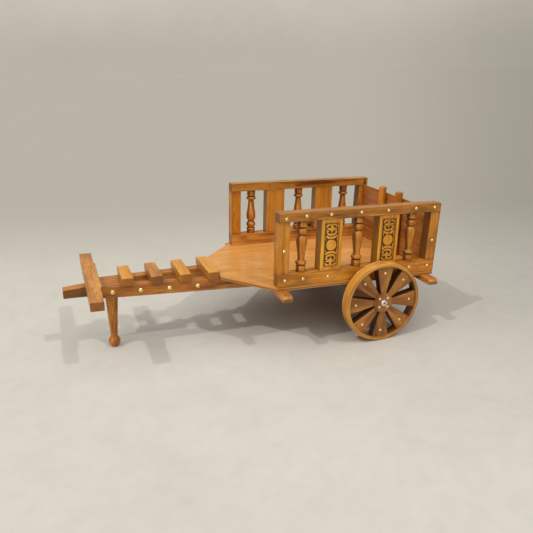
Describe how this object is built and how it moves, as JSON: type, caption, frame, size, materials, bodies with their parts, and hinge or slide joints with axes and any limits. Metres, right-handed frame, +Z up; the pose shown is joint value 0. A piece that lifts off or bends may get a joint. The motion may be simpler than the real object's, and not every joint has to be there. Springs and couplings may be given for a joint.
{
  "type": "decorative bullock cart",
  "caption": "Small decorative wooden bullock cart: deck between framed sides with turned balusters and carved panels, spoked wheels, converging shaft rails, yoke and front leg.",
  "frame": {"origin": "on the floor, under the middle of the cart's box: the wheels and the ball of the leg stand at z = 0", "axes": "+X forward to the tongue's end, +Y to the cart's left, +Z up from the floor; the body itself is pitched about 2.5 degrees nose up"},
  "size_m": [0.7644, 0.3966, 0.2898],
  "materials": {
    "frame_wood": "clear varnish over honey brown",
    "deck_wood": "clear varnish over pale board",
    "carved_wood": "clear varnish over golden wood",
    "spoke_wood": "thin varnish over brown wood",
    "tail_wood": "reddish stained board",
    "nut_steel": "zinc plated",
    "nail_brass": "polished domed nails"
  },
  "bodies": {
    "chassis": {"deck": "deck_wood", "front_bearer": "frame_wood", "rear_bearer": "frame_wood", "axle_beam": "frame_wood", "axle": "nut_steel", "left_shaft_rail": "frame_wood", "right_shaft_rail": "frame_wood", "tongue": "frame_wood", "yoke": "deck_wood", "stand_leg": "frame_wood", "rung_1": "deck_wood", "rung_2": "deck_wood", "rung_3": "deck_wood", "rung_4": "deck_wood", "left_top_rail": "frame_wood", "left_bottom_rail": "frame_wood", "left_front_stile": "frame_wood", "left_rear_stile": "frame_wood", "left_rear_baluster": "frame_wood", "left_middle_baluster": "frame_wood", "left_front_baluster": "frame_wood", "left_rear_panel": "carved_wood", "left_front_panel": "carved_wood", "left_axle_nut": "nut_steel", "right_top_rail": "frame_wood", "right_bottom_rail": "frame_wood", "right_front_stile": "frame_wood", "right_rear_stile": "frame_wood", "right_rear_baluster": "frame_wood", "right_middle_baluster": "frame_wood", "right_front_baluster": "frame_wood", "right_rear_panel": "carved_wood", "right_front_panel": "carved_wood", "right_axle_nut": "nut_steel"},
    "left_wheel": {"left_wheel_rim": "frame_wood", "left_wheel_spokes": "spoke_wood", "left_hub_plate": "spoke_wood"},
    "right_wheel": {"right_wheel_rim": "frame_wood", "right_wheel_spokes": "spoke_wood", "right_hub_plate": "spoke_wood"},
    "tailboard": {"tailboard": "tail_wood", "left_grip": "carved_wood", "right_grip": "carved_wood"}
  },
  "joints": [
    {"name": "left_wheel_spin", "type": "hinge", "parent": "chassis", "child": "left_wheel", "pos_m": [-0.23513, 0.1823, 0.0845], "axis": [0, 1, 0], "continuous": true},
    {"name": "right_wheel_spin", "type": "hinge", "parent": "chassis", "child": "right_wheel", "pos_m": [-0.23513, -0.1823, 0.0845], "axis": [0, 1, 0], "continuous": true},
    {"name": "tailboard_lift", "type": "slide", "parent": "chassis", "child": "tailboard", "axis": [-0.0444, 0, 0.999], "range_m": [0, 0.155]}
  ]
}
